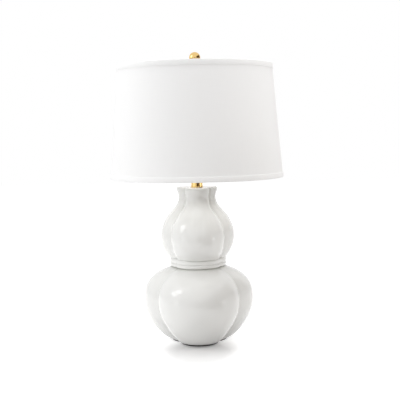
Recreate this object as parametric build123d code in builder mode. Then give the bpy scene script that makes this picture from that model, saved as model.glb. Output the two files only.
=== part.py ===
from build123d import *
import os
from math import cos, hypot, radians, sin, sqrt

# A table lamp: a glazed double gourd with three lobes, a brass neck, a harp and a round tapered shade.
# Millimetres, +Z up. The origin is on the lamp's axis, on the surface that it stands on, and the viewer
# is towards -Y, where one lobe faces. The harp lies in the XZ plane.

# ---------------------------------------------------------------- driving dimensions
# body
felt_thickness = 3.0
felt_inset = 1.2
lower_bulb_height = 187.0
lower_bulb_width = 277.6
belt_ring_heights = [9.0, 12.0]
belt_width = 142.0
belt_groove_depth = 1.8
belt_lobe_ratio = 0.20
upper_bulb_height = 176.0
upper_bulb_width = 184.4
body_wall = 6.5
foot_ring_width = 9.0
foot_recess_depth = 19.0
body_floor = 7.0
body_top = 8.0
crease_rounding = 2.0

# Each station of a bulb: its share of the bulb's height, its share of the widest half width, and how far
# the lobes' centres stand off the axis as a share of the half width, which sets how deep the creases are.
LOWER_STATIONS = [
    (0.000, 0.508, 0.365),
    (0.048, 0.652, 0.430),
    (0.118, 0.757, 0.420),
    (0.225, 0.865, 0.385),
    (0.385, 0.967, 0.328),
    (0.572, 1.000, 0.308),
    (0.706, 0.965, 0.306),
    (0.813, 0.878, 0.315),
    (0.893, 0.752, 0.315),
    (0.952, 0.595, 0.290),
    (1.000, 0.470, 0.250),
]
UPPER_STATIONS = [
    (0.000, 0.778, 0.285),
    (0.097, 0.905, 0.311),
    (0.193, 0.977, 0.319),
    (0.290, 1.000, 0.323),
    (0.420, 0.966, 0.325),
    (0.534, 0.876, 0.360),
    (0.631, 0.748, 0.420),
    (0.733, 0.577, 0.455),
    (0.801, 0.513, 0.448),
    (0.858, 0.497, 0.442),
    (0.926, 0.527, 0.450),
    (0.966, 0.548, 0.455),
    (0.989, 0.544, 0.455),
    (1.000, 0.515, 0.455),
]

# pipe and the hardware that clamps the stack
pipe_diameter = 9.7
pipe_bore = 7.0
pipe_clearance = 0.3
thread_clearance = 0.05
pipe_tail = 3.0
base_washer_diameter = 50.0
base_washer_thickness = 2.0
lock_washer_diameter = 17.0
lock_washer_thickness = 1.6
nut_across_flats = 14.3
nut_height = 4.8

# cord inlet
inlet_height = 10.0
inlet_bore = 7.2
inlet_barrel_diameter = 10.0
inlet_flange_diameter = 14.0
inlet_flange_thickness = 2.0
inlet_depth = 6.0
inlet_inside_reach = 1.0
inlet_clearance = 0.1

# neck
neck_diameter = 28.4
neck_height = 28.0
neck_wall = 1.2
neck_collar_diameter = 29.6
neck_collar_height = 4.0
neck_top_plate = 1.6
check_ring_diameter = 23.0
check_ring_flange = 1.0
check_ring_spigot_diameter = 17.0
check_ring_spigot = 5.0
check_ring_clearance = 0.2

# harp and its saddle
saddle_thickness = 1.6
saddle_width = 12.7
saddle_bend = 1.6
saddle_reach = 33.5
saddle_rise = 16.0
saddle_step = 4.7
ear_width = 6.0
ear_height = 12.0
harp_size = 254.0
harp_wire = 3.2
harp_half_width = 61.0
harp_shoulder_half_width = 45.0
harp_straight_leg = 43.0
harp_widest_low = 130.0
harp_widest_high = 195.0
harp_leg_clearance = 0.1
harp_leg_chamfer = 0.9
harp_leg_bends = [60.0, 90.0, 120.0, 30.0]
harp_eye_diameter = 13.0
ferrule_wall = 0.8
ferrule_height = 13.5
ferrule_cap = 1.0
ferrule_clearance = 0.15
ferrule_running_clearance = 0.08
stud_diameter = 6.2
stud_length = 12.7
stud_shank_diameter = 6.0
stud_shoulder_thickness = 2.5
stud_head_diameter = 9.0
stud_head_thickness = 1.5

# socket
cap_hub_diameter = 13.0
cap_hub_height = 7.0
cap_diameter = 34.4
cap_height = 17.0
cap_wall = 0.8
cap_corner = 4.0
set_screw_diameter = 3.0
set_screw_length = 4.0
shell_wall = 0.6
shell_overlap = 8.0
shell_height = 53.0
shell_bead = 0.8
liner_wall = 0.7
fit_gap = 0.1
interior_height = 23.0
interior_lift = 9.0
thread_bore = 26.2
thread_wall = 0.5
thread_length = 23.5
contact_diameter = 7.0
contact_height = 3.0
contact_well_clearance = 1.0
terminal_screw_spacing = 16.0
terminal_head_diameter = 6.0
terminal_head_height = 2.2
terminal_shank_diameter = 3.0
terminal_shank_length = 6.0
switch_rise = 29.4
switch_shaft_diameter = 4.0
switch_shaft_depth = 10.0
switch_running_clearance = 0.05
switch_slot_clearance = 0.6
knob_diameter = 11.0
knob_length = 16.0
knob_offset = 22.0
knob_socket_depth = 9.0
knob_flutes = 12
knob_flute_diameter = 1.6

# shade
shade_top_diameter = 382.0
shade_bottom_diameter = 431.8
shade_height = 277.0
fabric_thickness = 0.8
lining_thickness = 0.6
trim_width = 12.7
trim_thickness = 1.6
trim_rounding = 1.4
glue_gap = 0.05
rim_wire = 3.2
spider_wire = 3.2
spider_drop = 19.0
spider_bend = 7.0
spider_arms_count = 3
first_arm_angle = 90.0
hub_diameter = 24.0
hub_hole_diameter = 11.1
hub_thickness = 2.0

# finial
finial_height = 49.0
finial_ball_diameter = 28.0
finial_foot_diameter = 16.0
finial_foot_height = 3.0
finial_stem_diameter = 8.0
finial_seat_diameter = 11.0
finial_cove = 3.0
finial_hole_spare = 1.0

# ---------------------------------------------------------------- levels
foot_z = felt_thickness
lower_bulb_top_z = foot_z + lower_bulb_height
belt_top_z = lower_bulb_top_z + sum(belt_ring_heights)
body_top_z = belt_top_z + upper_bulb_height
body_floor_z = foot_z + foot_recess_depth
saddle_z = body_top_z + neck_height
cap_z = saddle_z + saddle_thickness
cup_z = cap_z + cap_hub_height
cup_top_z = cup_z + cap_height
shell_z = cup_top_z - shell_overlap
shell_top_z = shell_z + shell_height
interior_z = cup_z + cap_wall + interior_lift
interior_top_z = interior_z + interior_height
switch_z = cap_z + switch_rise
ledge_z = saddle_z + saddle_rise
hub_z = saddle_z + harp_size
hub_top_z = hub_z + hub_thickness
eye_top_z = hub_z - stud_shoulder_thickness
shade_top_z = hub_z + spider_drop
shade_bottom_z = shade_top_z - shade_height
finial_top_z = hub_top_z + finial_height

pipe_radius = pipe_diameter / 2
pipe_hole_radius = pipe_radius + pipe_clearance
thread_hole_radius = pipe_radius + thread_clearance
pipe_bottom_z = body_floor_z - base_washer_thickness - lock_washer_thickness - nut_height - pipe_tail
pipe_top_z = cup_z + cap_wall

PARTS_FOLDER = "parts"
os.makedirs(PARTS_FOLDER, exist_ok=True)


def save(builder, name):
    """labels a finished piece and writes it under its own name"""
    builder.part.label = name
    export_step(builder.part, os.path.join(PARTS_FOLDER, name + ".step"))


# ---------------------------------------------------------------- the three-lobed plan
LOBE_ANGLES = [-90.0, 30.0, 150.0]
CREASE_STEP = 60.0
SIDE_LOBE_SHARE = cos(radians(30.0))


def polar(radius, angle):
    """a plan point at a distance from the axis and an angle in degrees"""
    return (radius * cos(radians(angle)), radius * sin(radians(angle)))


def lobe_radius(half_width, offset):
    """radius of a lobe's circle whose centre is off the axis, for the plan's half width across X"""
    return half_width - SIDE_LOBE_SHARE * offset


def crease_radius(radius, offset):
    """distance from the axis to the crease where two neighbouring lobes' circles meet"""
    return offset / 2 + sqrt(radius**2 - (SIDE_LOBE_SHARE * offset) ** 2)


def lobed_plan(z, radius, offset):
    """a face at a height, bounded by three equal arcs that meet in three softly rounded creases"""
    crease = crease_radius(radius, offset)
    with BuildSketch(Plane.XY.offset(z)) as plan:
        with BuildLine():
            for angle in LOBE_ANGLES:
                start = polar(crease, angle - CREASE_STEP)
                tip = polar(offset + radius, angle)
                end = polar(crease, angle + CREASE_STEP)
                ThreePointArc(start, tip, end)
        make_face()
        fillet(plan.vertices(), crease_rounding)
    return plan.sketch


def lobed_section(z, half_width, lobe_ratio, inset=0.0):
    """one section of the body at a height, drawn in by a wall's thickness if one is given"""
    offset = lobe_ratio * half_width
    return lobed_plan(z, lobe_radius(half_width, offset) - inset, offset)


def bulb_section_at(stations, bottom_z, height, width, z):
    """half width and lobe ratio of a bulb at a height, on a straight line between its stations"""
    share = (z - bottom_z) / height
    for low, high in zip(stations, stations[1:]):
        if share <= high[0]:
            break
    t = (share - low[0]) / (high[0] - low[0])
    half_width = (low[1] + t * (high[1] - low[1])) * width / 2
    return half_width, low[2] + t * (high[2] - low[2])


def bulb_sections(stations, bottom_z, height, width):
    """the sections of a bulb's outside, one at each of its stations"""
    return [lobed_section(bottom_z + share * height, size * width / 2, ratio) for share, size, ratio in stations]


def hollow_sections(stations, bottom_z, height, width, low, high):
    """the sections of a bulb's inside between two levels, one wall in from the outside"""
    levels = [bottom_z + station[0] * height for station in stations]
    levels = [low] + [z for z in levels if low + body_wall < z < high - body_wall] + [high]
    sections = []
    for z in levels:
        half_width, ratio = bulb_section_at(stations, bottom_z, height, width, z)
        sections.append(lobed_section(z, half_width, ratio, body_wall))
    return sections


# ---------------------------------------------------------------- ceramic body
belt_half_width = belt_width / 2
cavity_floor_z = body_floor_z + body_floor
cavity_top_z = body_top_z - body_top
foot_half_width = LOWER_STATIONS[0][1] * lower_bulb_width / 2
foot_offset = LOWER_STATIONS[0][2] * foot_half_width
foot_radius = lobe_radius(foot_half_width, foot_offset)
recess_radius = foot_radius - foot_ring_width
recess_crease = crease_radius(recess_radius, foot_offset)
inlet_z = foot_z + inlet_height
inlet_face_y = crease_radius(foot_radius, foot_offset) + inlet_depth - foot_ring_width / 2
BELT_RING_STATIONS = [(0.0, 1.0), (0.2, 0.28), (0.5, 0.0), (0.8, 0.28), (1.0, 1.0)]

with BuildPart() as ceramic_body:
    loft(bulb_sections(LOWER_STATIONS, foot_z, lower_bulb_height, lower_bulb_width))
    ring_z = lower_bulb_top_z
    for ring_height in belt_ring_heights:
        ring_sections = []
        for share, groove_share in BELT_RING_STATIONS:
            ring_half_width = belt_half_width - groove_share * belt_groove_depth
            ring_sections.append(lobed_section(ring_z + share * ring_height, ring_half_width, belt_lobe_ratio))
        loft(ring_sections)
        ring_z += ring_height
    loft(bulb_sections(UPPER_STATIONS, belt_top_z, upper_bulb_height, upper_bulb_width))
    # the hollow inside follows the outside at one wall's distance, and tapers from bulb to bulb in the waist
    lower_hollow = hollow_sections(
        LOWER_STATIONS, foot_z, lower_bulb_height, lower_bulb_width, cavity_floor_z, lower_bulb_top_z
    )
    upper_hollow = hollow_sections(
        UPPER_STATIONS, belt_top_z, upper_bulb_height, upper_bulb_width, belt_top_z, cavity_top_z
    )
    loft(lower_hollow, mode=Mode.SUBTRACT)
    loft([lower_hollow[-1], upper_hollow[0]], mode=Mode.SUBTRACT)
    loft(upper_hollow, mode=Mode.SUBTRACT)
    # the foot is a ring round a recess that holds the base nut
    extrude(lobed_plan(foot_z, recess_radius, foot_offset), amount=foot_recess_depth, mode=Mode.SUBTRACT)
    with BuildSketch(Plane.XY.offset(body_floor_z)):
        Circle(pipe_hole_radius)
    extrude(amount=body_floor, mode=Mode.SUBTRACT)
    with BuildSketch(Plane.XY.offset(cavity_top_z)):
        Circle(check_ring_spigot_diameter / 2 + check_ring_clearance)
    extrude(amount=body_top, mode=Mode.SUBTRACT)
    # cord inlet through the back crease, spot-faced so that the bushing's flange seats flat
    with BuildSketch(Plane.XZ.offset(-inlet_face_y)):
        with Locations((0, inlet_z)):
            Circle(inlet_flange_diameter / 2 + inlet_clearance)
    extrude(amount=-lower_bulb_width, mode=Mode.SUBTRACT)
    with BuildSketch(Plane.XZ.offset(-inlet_face_y)):
        with Locations((0, inlet_z)):
            Circle(inlet_barrel_diameter / 2 + inlet_clearance)
    extrude(amount=inlet_face_y - recess_crease / 2, mode=Mode.SUBTRACT)
save(ceramic_body, "ceramic_body")

with BuildPart() as felt_pad:
    extrude(lobed_plan(0, foot_radius - felt_inset, foot_offset), amount=felt_thickness)
save(felt_pad, "felt_pad")

inlet_inner_y = recess_crease - inlet_inside_reach
with BuildPart() as cord_bushing:
    with BuildSketch(Plane.XZ.offset(-inlet_face_y)):
        with Locations((0, inlet_z)):
            Circle(inlet_flange_diameter / 2)
    extrude(amount=-inlet_flange_thickness)
    with BuildSketch(Plane.XZ.offset(-inlet_face_y)):
        with Locations((0, inlet_z)):
            Circle(inlet_barrel_diameter / 2)
    extrude(amount=inlet_face_y - inlet_inner_y)
    with BuildSketch(Plane.XZ.offset(-inlet_face_y - inlet_flange_thickness)):
        with Locations((0, inlet_z)):
            Circle(inlet_bore / 2)
    extrude(amount=inlet_face_y + inlet_flange_thickness - inlet_inner_y, mode=Mode.SUBTRACT)
save(cord_bushing, "cord_bushing")


# ---------------------------------------------------------------- pipe, washers and nut
def ring_plate(z, outer_radius, inner_radius, thickness):
    """adds a flat round plate with a central hole, standing up from a level"""
    with BuildSketch(Plane.XY.offset(z)) as outline:
        Circle(outer_radius)
        Circle(inner_radius, mode=Mode.SUBTRACT)
    extrude(outline.sketch, amount=thickness)


with BuildPart() as lamp_pipe:
    ring_plate(pipe_bottom_z, pipe_radius, pipe_bore / 2, pipe_top_z - pipe_bottom_z)
save(lamp_pipe, "lamp_pipe")

base_washer_z = body_floor_z - base_washer_thickness
with BuildPart() as base_washer:
    ring_plate(base_washer_z, base_washer_diameter / 2, pipe_hole_radius, base_washer_thickness)
save(base_washer, "base_washer")

lock_washer_z = base_washer_z - lock_washer_thickness
with BuildPart() as lock_washer:
    ring_plate(lock_washer_z, lock_washer_diameter / 2, pipe_hole_radius, lock_washer_thickness)
save(lock_washer, "lock_washer")

with BuildPart() as base_nut:
    with BuildSketch(Plane.XY.offset(lock_washer_z - nut_height)):
        RegularPolygon(radius=nut_across_flats / 2, side_count=6, major_radius=False)
        Circle(thread_hole_radius, mode=Mode.SUBTRACT)
    extrude(amount=nut_height)
save(base_nut, "base_nut")

# ---------------------------------------------------------------- brass neck
with BuildPart() as check_ring:
    ring_plate(body_top_z, check_ring_diameter / 2, pipe_hole_radius, check_ring_flange)
    ring_plate(
        body_top_z - check_ring_spigot,
        check_ring_spigot_diameter / 2,
        pipe_hole_radius,
        check_ring_spigot,
    )
save(check_ring, "check_ring")

with BuildPart() as brass_neck:
    ring_plate(body_top_z, neck_diameter / 2, neck_diameter / 2 - neck_wall, neck_height)
    ring_plate(body_top_z, neck_collar_diameter / 2, neck_diameter / 2 - neck_wall, neck_collar_height)
    ring_plate(saddle_z - neck_top_plate, neck_diameter / 2 - neck_wall, pipe_hole_radius, neck_top_plate)
save(brass_neck, "brass_neck")

# ---------------------------------------------------------------- harp saddle
ear_x = saddle_reach - saddle_step
ear_top_z = ledge_z + ear_height

with BuildPart() as harp_saddle:
    with BuildSketch(Plane.XZ):
        with BuildLine():
            seat_mid_z = saddle_z + saddle_thickness / 2
            ledge_mid_z = ledge_z - saddle_thickness / 2
            right_arm = [
                (saddle_reach, seat_mid_z),
                (saddle_reach, ledge_mid_z),
                (ear_x, ledge_mid_z),
                (ear_x, ear_top_z),
            ]
            left_arm = [(-x, z) for x, z in reversed(right_arm)]
            FilletPolyline(*left_arm, *right_arm, radius=saddle_bend)
        trace(line_width=saddle_thickness)
    extrude(amount=saddle_width / 2, both=True)
    # above the ledges only the narrow ears stand up
    with BuildSketch(Plane.XY.offset(ledge_z)):
        Rectangle(2 * saddle_reach, saddle_width)
        Rectangle(2 * saddle_reach, ear_width, mode=Mode.SUBTRACT)
    extrude(amount=ear_height, mode=Mode.SUBTRACT)
    with BuildSketch(Plane.XY.offset(saddle_z)):
        Circle(pipe_hole_radius)
    extrude(amount=saddle_thickness, mode=Mode.SUBTRACT)
save(harp_saddle, "harp_saddle")

# ---------------------------------------------------------------- harp
leg_radius = harp_wire / 2
leg_x = ear_x + saddle_thickness / 2 + harp_leg_clearance + leg_radius
harp_top_wire_z = eye_top_z - leg_radius

with BuildPart() as harp_loop:
    right_side = [
        (leg_x, ledge_z),
        (leg_x, ledge_z + harp_straight_leg),
        (harp_half_width, saddle_z + harp_widest_low),
        (harp_half_width, saddle_z + harp_widest_high),
        (harp_shoulder_half_width, harp_top_wire_z),
    ]
    left_side = [(-x, z) for x, z in reversed(right_side)]
    with BuildLine(Plane.XZ):
        harp_path = FilletPolyline(
            *right_side,
            *left_side,
            radius=harp_leg_bends + harp_leg_bends[::-1],
        )
    with BuildSketch(Plane.XY.offset(ledge_z)):
        with Locations((leg_x, 0)):
            Circle(leg_radius)
    sweep(path=harp_path)
    leg_ends = edges().filter_by(GeomType.CIRCLE).group_by(Axis.Z)[0]
    chamfer(leg_ends, harp_leg_chamfer)
    with BuildSketch(Plane.XY.offset(eye_top_z - harp_wire)):
        Circle(harp_eye_diameter / 2)
    extrude(amount=harp_wire)
    with BuildSketch(Plane.XY.offset(eye_top_z - harp_wire)):
        Circle(stud_shank_diameter / 2 + thread_clearance)
    extrude(amount=harp_wire, mode=Mode.SUBTRACT)
save(harp_loop, "harp_loop")

with BuildPart() as harp_stud:
    head_z = eye_top_z - harp_wire - stud_head_thickness
    with BuildSketch(Plane.XY.offset(head_z)):
        Circle(stud_head_diameter / 2)
    extrude(amount=stud_head_thickness)
    with BuildSketch(Plane.XY.offset(eye_top_z - harp_wire)):
        Circle(stud_shank_diameter / 2)
    extrude(amount=harp_wire)
    with BuildSketch(Plane.XY.offset(eye_top_z)):
        Circle(harp_eye_diameter / 2)
    extrude(amount=stud_shoulder_thickness)
    with BuildSketch(Plane.XY.offset(hub_z)):
        Circle(stud_diameter / 2)
    extrude(amount=stud_length)
save(harp_stud, "harp_stud")

# a ferrule is bored to slip over an ear and the leg beside it, and its cap runs on the leg
ferrule_inner_x = ear_x - saddle_thickness / 2
ferrule_x = (ferrule_inner_x + leg_x + leg_radius) / 2
ferrule_bore_radius = hypot(ferrule_x - ferrule_inner_x, ear_width / 2) + ferrule_clearance


def harp_ferrule(side):
    """adds the ferrule on one leg, its cap's hole centred on the leg rather than on the ferrule"""
    with BuildSketch(Plane.XY.offset(ledge_z)) as sleeve:
        with Locations((side * ferrule_x, 0)):
            Circle(ferrule_bore_radius + ferrule_wall)
            Circle(ferrule_bore_radius, mode=Mode.SUBTRACT)
    extrude(sleeve.sketch, amount=ferrule_height - ferrule_cap)
    with BuildSketch(Plane.XY.offset(ledge_z + ferrule_height - ferrule_cap)) as cap:
        with Locations((side * ferrule_x, 0)):
            Circle(ferrule_bore_radius + ferrule_wall)
        with Locations((side * leg_x, 0)):
            Circle(leg_radius + ferrule_running_clearance, mode=Mode.SUBTRACT)
    extrude(cap.sketch, amount=ferrule_cap)


with BuildPart() as ferrule_right:
    harp_ferrule(1)
save(ferrule_right, "ferrule_right")

with BuildPart() as ferrule_left:
    harp_ferrule(-1)
save(ferrule_left, "ferrule_left")

# ---------------------------------------------------------------- socket
cup_radius = cap_diameter / 2
cup_bore_radius = cup_radius - cap_wall
shell_radius = cup_bore_radius - fit_gap
shell_bore_radius = shell_radius - shell_wall
liner_radius = shell_bore_radius - fit_gap
liner_bore_radius = liner_radius - liner_wall
interior_radius = liner_bore_radius - fit_gap

with BuildPart() as socket_cap:
    with BuildSketch(Plane.XY.offset(cap_z)):
        Circle(cap_hub_diameter / 2)
    extrude(amount=cap_hub_height + cap_wall)
    with BuildSketch(Plane.XZ):
        with BuildLine():
            Polyline(
                (0, cup_z),
                (cup_radius, cup_z),
                (cup_radius, cup_top_z),
                (cup_bore_radius, cup_top_z),
                (cup_bore_radius, cup_z + cap_wall),
                (0, cup_z + cap_wall),
                close=True,
            )
        make_face()
        outer_corner = vertices().sort_by_distance((cup_radius, cup_z))[0]
        inner_corner = vertices().sort_by_distance((cup_bore_radius, cup_z + cap_wall))[0]
        fillet(outer_corner, cap_corner)
        fillet(inner_corner, cap_corner - cap_wall)
    revolve(axis=Axis.Z)
    with BuildSketch(Plane.XY.offset(cap_z)):
        Circle(thread_hole_radius)
    extrude(amount=cap_hub_height + cap_wall, mode=Mode.SUBTRACT)
    with BuildSketch(Plane.XZ):
        with Locations((0, cap_z + cap_hub_height / 2)):
            Circle(set_screw_diameter / 2 + thread_clearance)
    extrude(amount=-cap_hub_diameter, mode=Mode.SUBTRACT)
save(socket_cap, "socket_cap")

with BuildPart() as cap_set_screw:
    with BuildSketch(Plane.XZ.offset(-thread_hole_radius)):
        with Locations((0, cap_z + cap_hub_height / 2)):
            Circle(set_screw_diameter / 2)
    extrude(amount=-set_screw_length)
save(cap_set_screw, "cap_set_screw")


def switch_slot(bottom_z, reach):
    """cuts the slot, open at the bottom edge, that the switch shaft leaves a sleeve by"""
    half_slot = switch_shaft_diameter / 2 + switch_slot_clearance
    with BuildSketch(Plane.XZ) as slot:
        with Locations((0, switch_z)):
            Circle(half_slot)
        with Locations((0, (switch_z + bottom_z) / 2)):
            Rectangle(2 * half_slot, switch_z - bottom_z)
    extrude(slot.sketch, amount=reach, mode=Mode.SUBTRACT)


with BuildPart() as socket_shell:
    ring_plate(shell_z, shell_radius, shell_bore_radius, shell_height)
    ring_plate(shell_top_z - shell_bead, shell_radius + shell_bead / 2, shell_bore_radius, shell_bead)
    switch_slot(shell_z, cap_diameter)
save(socket_shell, "socket_shell")

liner_z = shell_z + fit_gap
liner_top_z = shell_top_z - shell_bead
with BuildPart() as socket_liner:
    ring_plate(liner_z, liner_radius, liner_bore_radius, liner_top_z - liner_z)
    switch_slot(liner_z, cap_diameter)
save(socket_liner, "socket_liner")

contact_well_radius = contact_diameter / 2 + contact_well_clearance
with BuildPart() as socket_interior:
    with BuildSketch(Plane.XY.offset(interior_z)):
        Circle(interior_radius)
    extrude(amount=interior_height)
    with BuildSketch(Plane.XY.offset(interior_top_z - contact_height)):
        Circle(contact_well_radius)
    extrude(amount=contact_height, mode=Mode.SUBTRACT)
    with BuildSketch(Plane.XZ.offset(interior_radius - switch_shaft_depth)):
        with Locations((0, switch_z)):
            Circle(switch_shaft_diameter / 2 + switch_running_clearance)
    extrude(amount=switch_shaft_depth, mode=Mode.SUBTRACT)
    with BuildSketch(Plane.XY.offset(interior_z)):
        with GridLocations(terminal_screw_spacing, 0, 2, 1):
            Circle(terminal_shank_diameter / 2 + thread_clearance)
    extrude(amount=terminal_shank_length, mode=Mode.SUBTRACT)
save(socket_interior, "socket_interior")

with BuildPart() as terminal_screws:
    with BuildSketch(Plane.XY.offset(interior_z)):
        with GridLocations(terminal_screw_spacing, 0, 2, 1):
            Circle(terminal_head_diameter / 2)
    extrude(amount=-terminal_head_height)
    with BuildSketch(Plane.XY.offset(interior_z)):
        with GridLocations(terminal_screw_spacing, 0, 2, 1):
            Circle(terminal_shank_diameter / 2)
    extrude(amount=terminal_shank_length)
save(terminal_screws, "terminal_screws")

with BuildPart() as centre_contact:
    with BuildSketch(Plane.XY.offset(interior_top_z - contact_height)):
        Circle(contact_diameter / 2)
    extrude(amount=contact_height)
save(centre_contact, "centre_contact")

thread_radius = thread_bore / 2
with BuildPart() as screw_shell:
    ring_plate(interior_top_z, thread_radius + thread_wall, contact_well_radius, thread_wall)
    ring_plate(interior_top_z, thread_radius + thread_wall, thread_radius, thread_length + thread_wall)
save(screw_shell, "screw_shell")

shaft_inner_y = interior_radius - switch_shaft_depth + fit_gap
with BuildPart() as switch_shaft:
    with BuildSketch(Plane.XZ.offset(shaft_inner_y)):
        with Locations((0, switch_z)):
            Circle(switch_shaft_diameter / 2)
    extrude(amount=knob_offset + knob_socket_depth - shaft_inner_y)
save(switch_shaft, "switch_shaft")

with BuildPart() as switch_knob:
    with BuildSketch(Plane.XZ.offset(knob_offset)):
        with Locations((0, switch_z)):
            Circle(knob_diameter / 2)
            with PolarLocations(knob_diameter / 2, knob_flutes):
                Circle(knob_flute_diameter / 2, mode=Mode.SUBTRACT)
    extrude(amount=knob_length)
    with BuildSketch(Plane.XZ.offset(knob_offset)):
        with Locations((0, switch_z)):
            Circle(switch_shaft_diameter / 2 + thread_clearance)
    extrude(amount=knob_socket_depth, mode=Mode.SUBTRACT)
save(switch_knob, "switch_knob")

# ---------------------------------------------------------------- shade
outer_top_radius = shade_top_diameter / 2 - trim_thickness
outer_bottom_radius = shade_bottom_diameter / 2 - trim_thickness
taper = (outer_bottom_radius - outer_top_radius) / shade_height
wire_radius = rim_wire / 2
top_wire_z = shade_top_z - trim_thickness - glue_gap - wire_radius
bottom_wire_z = shade_bottom_z + trim_thickness + glue_gap + wire_radius
sheet_top_z = shade_top_z - trim_thickness - glue_gap
sheet_bottom_z = shade_bottom_z + trim_thickness + glue_gap


def cover_radius(z):
    """outside radius of the fabric at a height"""
    return outer_top_radius + taper * (shade_top_z - z)


def cone_shell(low_z, high_z, inset, thickness):
    """adds a tapered shell that lies inside the fabric's outside by an inset"""
    with BuildSketch(Plane.XZ) as wall:
        with BuildLine():
            Polyline(
                (cover_radius(low_z) - inset, low_z),
                (cover_radius(high_z) - inset, high_z),
                (cover_radius(high_z) - inset - thickness, high_z),
                (cover_radius(low_z) - inset - thickness, low_z),
                close=True,
            )
        make_face()
    revolve(wall.sketch, axis=Axis.Z)


with BuildPart() as shade_fabric:
    cone_shell(sheet_bottom_z, sheet_top_z, 0, fabric_thickness)
save(shade_fabric, "shade_fabric")

with BuildPart() as shade_lining:
    cone_shell(sheet_bottom_z, sheet_top_z, fabric_thickness, lining_thickness)
save(shade_lining, "shade_lining")


def rim_wire_radius(z, up):
    """radius of a rim wire's centre line, tucked against the lining at its narrower side"""
    tight_z = z + up * wire_radius
    return cover_radius(tight_z) - fabric_thickness - lining_thickness - glue_gap - wire_radius


top_wire_radius = rim_wire_radius(top_wire_z, 1)
bottom_wire_radius = rim_wire_radius(bottom_wire_z, 1)

with BuildPart() as shade_top_ring:
    with BuildSketch(Plane.XZ):
        with Locations((top_wire_radius, top_wire_z)):
            Circle(wire_radius)
    revolve(axis=Axis.Z)
save(shade_top_ring, "shade_top_ring")

with BuildPart() as shade_bottom_ring:
    with BuildSketch(Plane.XZ):
        with Locations((bottom_wire_radius, bottom_wire_z)):
            Circle(wire_radius)
    revolve(axis=Axis.Z)
save(shade_bottom_ring, "shade_bottom_ring")


def rolled_trim(rim_z, wire_z, wire_centre_radius, inward):
    """adds a band on the outside that rolls over the rim to the wire's inner side; inward is -1 at the top
    rim and 1 at the bottom rim, the way from the rim towards the shade's middle"""
    band_z = rim_z + inward * trim_width
    fold_z = rim_z + inward * trim_thickness
    inner_radius = wire_centre_radius - wire_radius - glue_gap
    with BuildSketch(Plane.XZ) as band:
        with BuildLine():
            Polyline(
                (cover_radius(band_z) + glue_gap, band_z),
                (cover_radius(band_z) + trim_thickness, band_z),
                (cover_radius(rim_z) + trim_thickness, rim_z),
                (inner_radius - trim_thickness, rim_z),
                (inner_radius - trim_thickness, wire_z),
                (inner_radius, wire_z),
                (inner_radius, fold_z),
                (cover_radius(fold_z) + glue_gap, fold_z),
                close=True,
            )
        make_face()
        outer_rim = vertices().sort_by_distance((cover_radius(rim_z) + trim_thickness, rim_z))[0]
        inner_rim = vertices().sort_by_distance((inner_radius - trim_thickness, rim_z))[0]
        fillet([outer_rim, inner_rim], trim_rounding)
    revolve(band.sketch, axis=Axis.Z)


with BuildPart() as shade_top_trim:
    rolled_trim(shade_top_z, top_wire_z, top_wire_radius, -1)
save(shade_top_trim, "shade_top_trim")

with BuildPart() as shade_bottom_trim:
    rolled_trim(shade_bottom_z, bottom_wire_z, bottom_wire_radius, 1)
save(shade_bottom_trim, "shade_bottom_trim")

with BuildPart() as spider_hub:
    ring_plate(hub_z, hub_diameter / 2, hub_hole_diameter / 2, hub_thickness)
save(spider_hub, "spider_hub")

# each arm runs level from the hub and turns up to the underside of the top wire
arm_z = hub_z + hub_thickness / 2
arm_top_z = top_wire_z - wire_radius - glue_gap
with BuildPart() as spider_arms:
    for number in range(spider_arms_count):
        angle = first_arm_angle + number * 360.0 / spider_arms_count
        arm_plane = Plane(origin=(0, 0, 0), x_dir=(*polar(1, angle), 0), z_dir=(*polar(1, angle - 90), 0))
        with BuildLine(arm_plane):
            arm_path = FilletPolyline(
                (hub_diameter / 2 + glue_gap, arm_z),
                (top_wire_radius, arm_z),
                (top_wire_radius, arm_top_z),
                radius=spider_bend,
            )
        with BuildSketch(Plane(origin=arm_path @ 0, z_dir=arm_path % 0)):
            Circle(spider_wire / 2)
        sweep(path=arm_path)
save(spider_arms, "spider_arms")

# ---------------------------------------------------------------- finial
ball_radius = finial_ball_diameter / 2
ball_z = finial_top_z - ball_radius
seat_radius = finial_seat_diameter / 2
finial_seat_z = ball_z - sqrt(ball_radius**2 - seat_radius**2)

with BuildPart() as finial_base:
    with BuildSketch(Plane.XZ):
        with BuildLine():
            foot_top_z = hub_top_z + finial_foot_height
            Line((0, hub_top_z), (finial_foot_diameter / 2, hub_top_z))
            Line((finial_foot_diameter / 2, hub_top_z), (finial_foot_diameter / 2, foot_top_z))
            Line((finial_foot_diameter / 2, foot_top_z), (finial_stem_diameter / 2 + finial_cove, foot_top_z))
            ThreePointArc(
                (finial_stem_diameter / 2 + finial_cove, foot_top_z),
                (
                    finial_stem_diameter / 2 + finial_cove * (1 - sqrt(0.5)),
                    foot_top_z + finial_cove * (1 - sqrt(0.5)),
                ),
                (finial_stem_diameter / 2, foot_top_z + finial_cove),
            )
            Polyline(
                (finial_stem_diameter / 2, foot_top_z + finial_cove),
                (finial_stem_diameter / 2, finial_seat_z - (seat_radius - finial_stem_diameter / 2)),
                (seat_radius, finial_seat_z),
                (0, finial_seat_z),
                (0, hub_top_z),
            )
        make_face()
    revolve(axis=Axis.Z)
    with BuildSketch(Plane.XY.offset(hub_top_z)):
        Circle(stud_diameter / 2 + thread_clearance)
    extrude(amount=stud_length - hub_thickness + finial_hole_spare, mode=Mode.SUBTRACT)
save(finial_base, "finial_base")

with BuildPart() as finial_ball:
    with BuildSketch(Plane.XZ):
        with BuildLine():
            ThreePointArc((seat_radius, finial_seat_z), (ball_radius, ball_z), (0, finial_top_z))
            Polyline((0, finial_top_z), (0, finial_seat_z), (seat_radius, finial_seat_z))
        make_face()
    revolve(axis=Axis.Z)
save(finial_ball, "finial_ball")

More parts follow.
